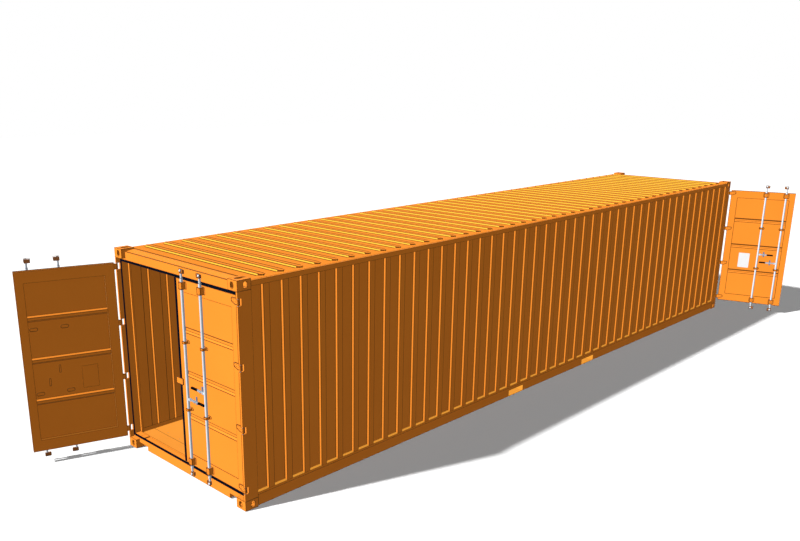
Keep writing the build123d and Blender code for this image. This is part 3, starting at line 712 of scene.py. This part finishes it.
# %% The eight grips
grip_long = 0.112
tip_a = bar_places[0] - 0.270
tip_b = bar_places[1] + 0.312
handle_front = 0.020
grips = {"handle_a": (retainer_places[0][1], tip_a, tip_a + grip_long),
         "handle_b": (retainer_places[1][1], tip_b, tip_b - grip_long)}
for leaf, matrix in places.items():
    for arm, (z, tip, root) in grips.items():
        start = matrix @ Vector((handle_front, tip - math.copysign(0.0015, root - tip), z))
        stop = matrix @ Vector((handle_front, root, z))
        grow(grip_tree, leaf + "_" + arm + "_grip",
             {"Start": start[:], "End": stop[:], "Radius": 0.0155, "Ripple": 0.0008, "Rings": 8.0,
              "Finish": grip_rubber}, leaf + "_" + arm)

# %% [markdown]
# The container stands on a plain pale floor in a bright studio. The camera and shiny surfaces see
# the floor and the backdrop as white. A real white room would also throw much light on the shaded
# side, which is deep brown in the picture to match. So for all other rays the floor is a darker
# grey and the backdrop is nearly black, and the light on the container comes from lamps alone.

# %% Floor
floor_mesh = bpy.data.meshes.new("ground")
span = 60.0
floor_mesh.from_pydata([(-span, -span, 0), (span, -span, 0), (span, span, 0), (-span, span, 0)], [],
                       [(0, 1, 2, 3)])
ground = bpy.data.objects.new("ground", floor_mesh)
bpy.context.scene.collection.objects.link(ground)


def seen_rays(tree):
    path = tree.nodes.new("ShaderNodeLightPath")
    total = calc(tree, "ADD", path.outputs["Is Camera Ray"], path.outputs["Is Glossy Ray"])
    return calc(tree, "MINIMUM", 1.0, calc(tree, "ADD", total, path.outputs["Is Transmission Ray"]))


pale = bpy.data.materials.new("pale_ground")
pale.use_nodes = True
tree = pale.node_tree
tree.nodes.clear()
seen_white = step(tree, "ShaderNodeBsdfDiffuse", {"Color": (1, 1, 1, 1)})
quiet_grey = step(tree, "ShaderNodeBsdfDiffuse", {"Color": (0.35, 0.35, 0.35, 1)})
blend = step(tree, "ShaderNodeMixShader", [seen_rays(tree), quiet_grey, seen_white])
tree.links.new(blend, tree.nodes.new("ShaderNodeOutputMaterial").inputs["Surface"])
ground.data.materials.append(pale)

# %% Backdrop
world = bpy.data.worlds.new("studio")
bpy.context.scene.world = world
world.use_nodes = True
tree = world.node_tree
tree.nodes.clear()
lamp = step(tree, "ShaderNodeBackground", {"Color": (1, 1, 1, 1), "Strength": 0.02})
seen = step(tree, "ShaderNodeBackground", {"Color": (1, 1, 1, 1), "Strength": 1.0})
sky = step(tree, "ShaderNodeMixShader", [seen_rays(tree), lamp, seen])
tree.links.new(sky, tree.nodes.new("ShaderNodeOutputWorld").inputs["Surface"])

# %% [markdown]
# The picture shades every face by the way it is turned, and its one shadow falls on the ground. So
# the container is lit by suns without shadows, which don't bounce either: one key, and fourteen
# weak ones that make an even fill. Six of those stand on the axes and eight on the corners of a
# cube, because with the axes alone a slanted face would be brighter than a straight one. Light
# linking keeps all these off the ground, and gives it a sun with a shadow and a weak fill of its
# own, so the shade on the ground can be set by itself.

# %% The suns
def sun(name, power, toward, shadows, ground_state):
    data = bpy.data.lights.new(name, "SUN")
    data.energy = power
    data.angle = math.radians(2)
    data.use_shadow = shadows
    data.cycles.max_bounces = 0
    lamp = bpy.data.objects.new(name, data)
    bpy.context.scene.collection.objects.link(lamp)
    lamp.rotation_euler = Vector(toward).to_track_quat("Z", "Y").to_euler()
    lamp.location = Vector(toward) * 8
    lit = bpy.data.collections.new(name + "_lit")
    lit.objects.link(ground)
    lit.collection_objects[0].light_linking.link_state = ground_state
    lamp.light_linking.receiver_collection = lit
    print(name, "power", power)


key_side = (-0.805, 0.42, 0.676)
axis_power = 0.311
corner_power = 0.19
sun("key", 4.62, key_side, False, "EXCLUDE")
around = []
for x in (-1, 0, 1):
    for y in (-1, 0, 1):
        for z in (-1, 0, 1):
            count = abs(x) + abs(y) + abs(z)
            if count in (1, 3):
                around.append(((x, y, z), axis_power if count == 1 else corner_power))
for i, (toward, power) in enumerate(around):
    sun("fill_" + str(i), power, toward, False, "EXCLUDE")
ground_side = (-1.23, 0.42, 1.0)
sun("ground_key", 5.0, ground_side, True, "INCLUDE")
sun("ground_fill", 0.77, (0, 0, 1), False, "INCLUDE")

# %% [markdown]
# The camera was fitted to the corner castings and the long edges of the container, and the fit gave
# its focal length and the middle of its axis in points of the picture. The frame isn't centred on
# that axis, so a small shift moves the picture without bending the upright lines.

# %% Camera
camera_data = bpy.data.cameras.new("camera")
camera = bpy.data.objects.new("camera", camera_data)
bpy.context.scene.collection.objects.link(camera)
camera_data.sensor_fit = "HORIZONTAL"
frame_wide = 800
frame_high = 541
focal_length = 828.65
axis_at = (348.78, 328.84)
camera_data.sensor_width = 36.0
camera_data.lens = focal_length / frame_wide * camera_data.sensor_width
camera_data.shift_x = (frame_wide / 2 - axis_at[0]) / frame_wide
camera_data.shift_y = (axis_at[1] - frame_high / 2) / frame_wide
camera_data.clip_end = 200
camera.location = (-10.950, -7.796, 4.517)
camera.rotation_euler = (math.radians(73.301), 0, math.radians(-44.329))
bpy.context.scene.camera = camera
bpy.context.scene.view_settings.view_transform = "Standard"
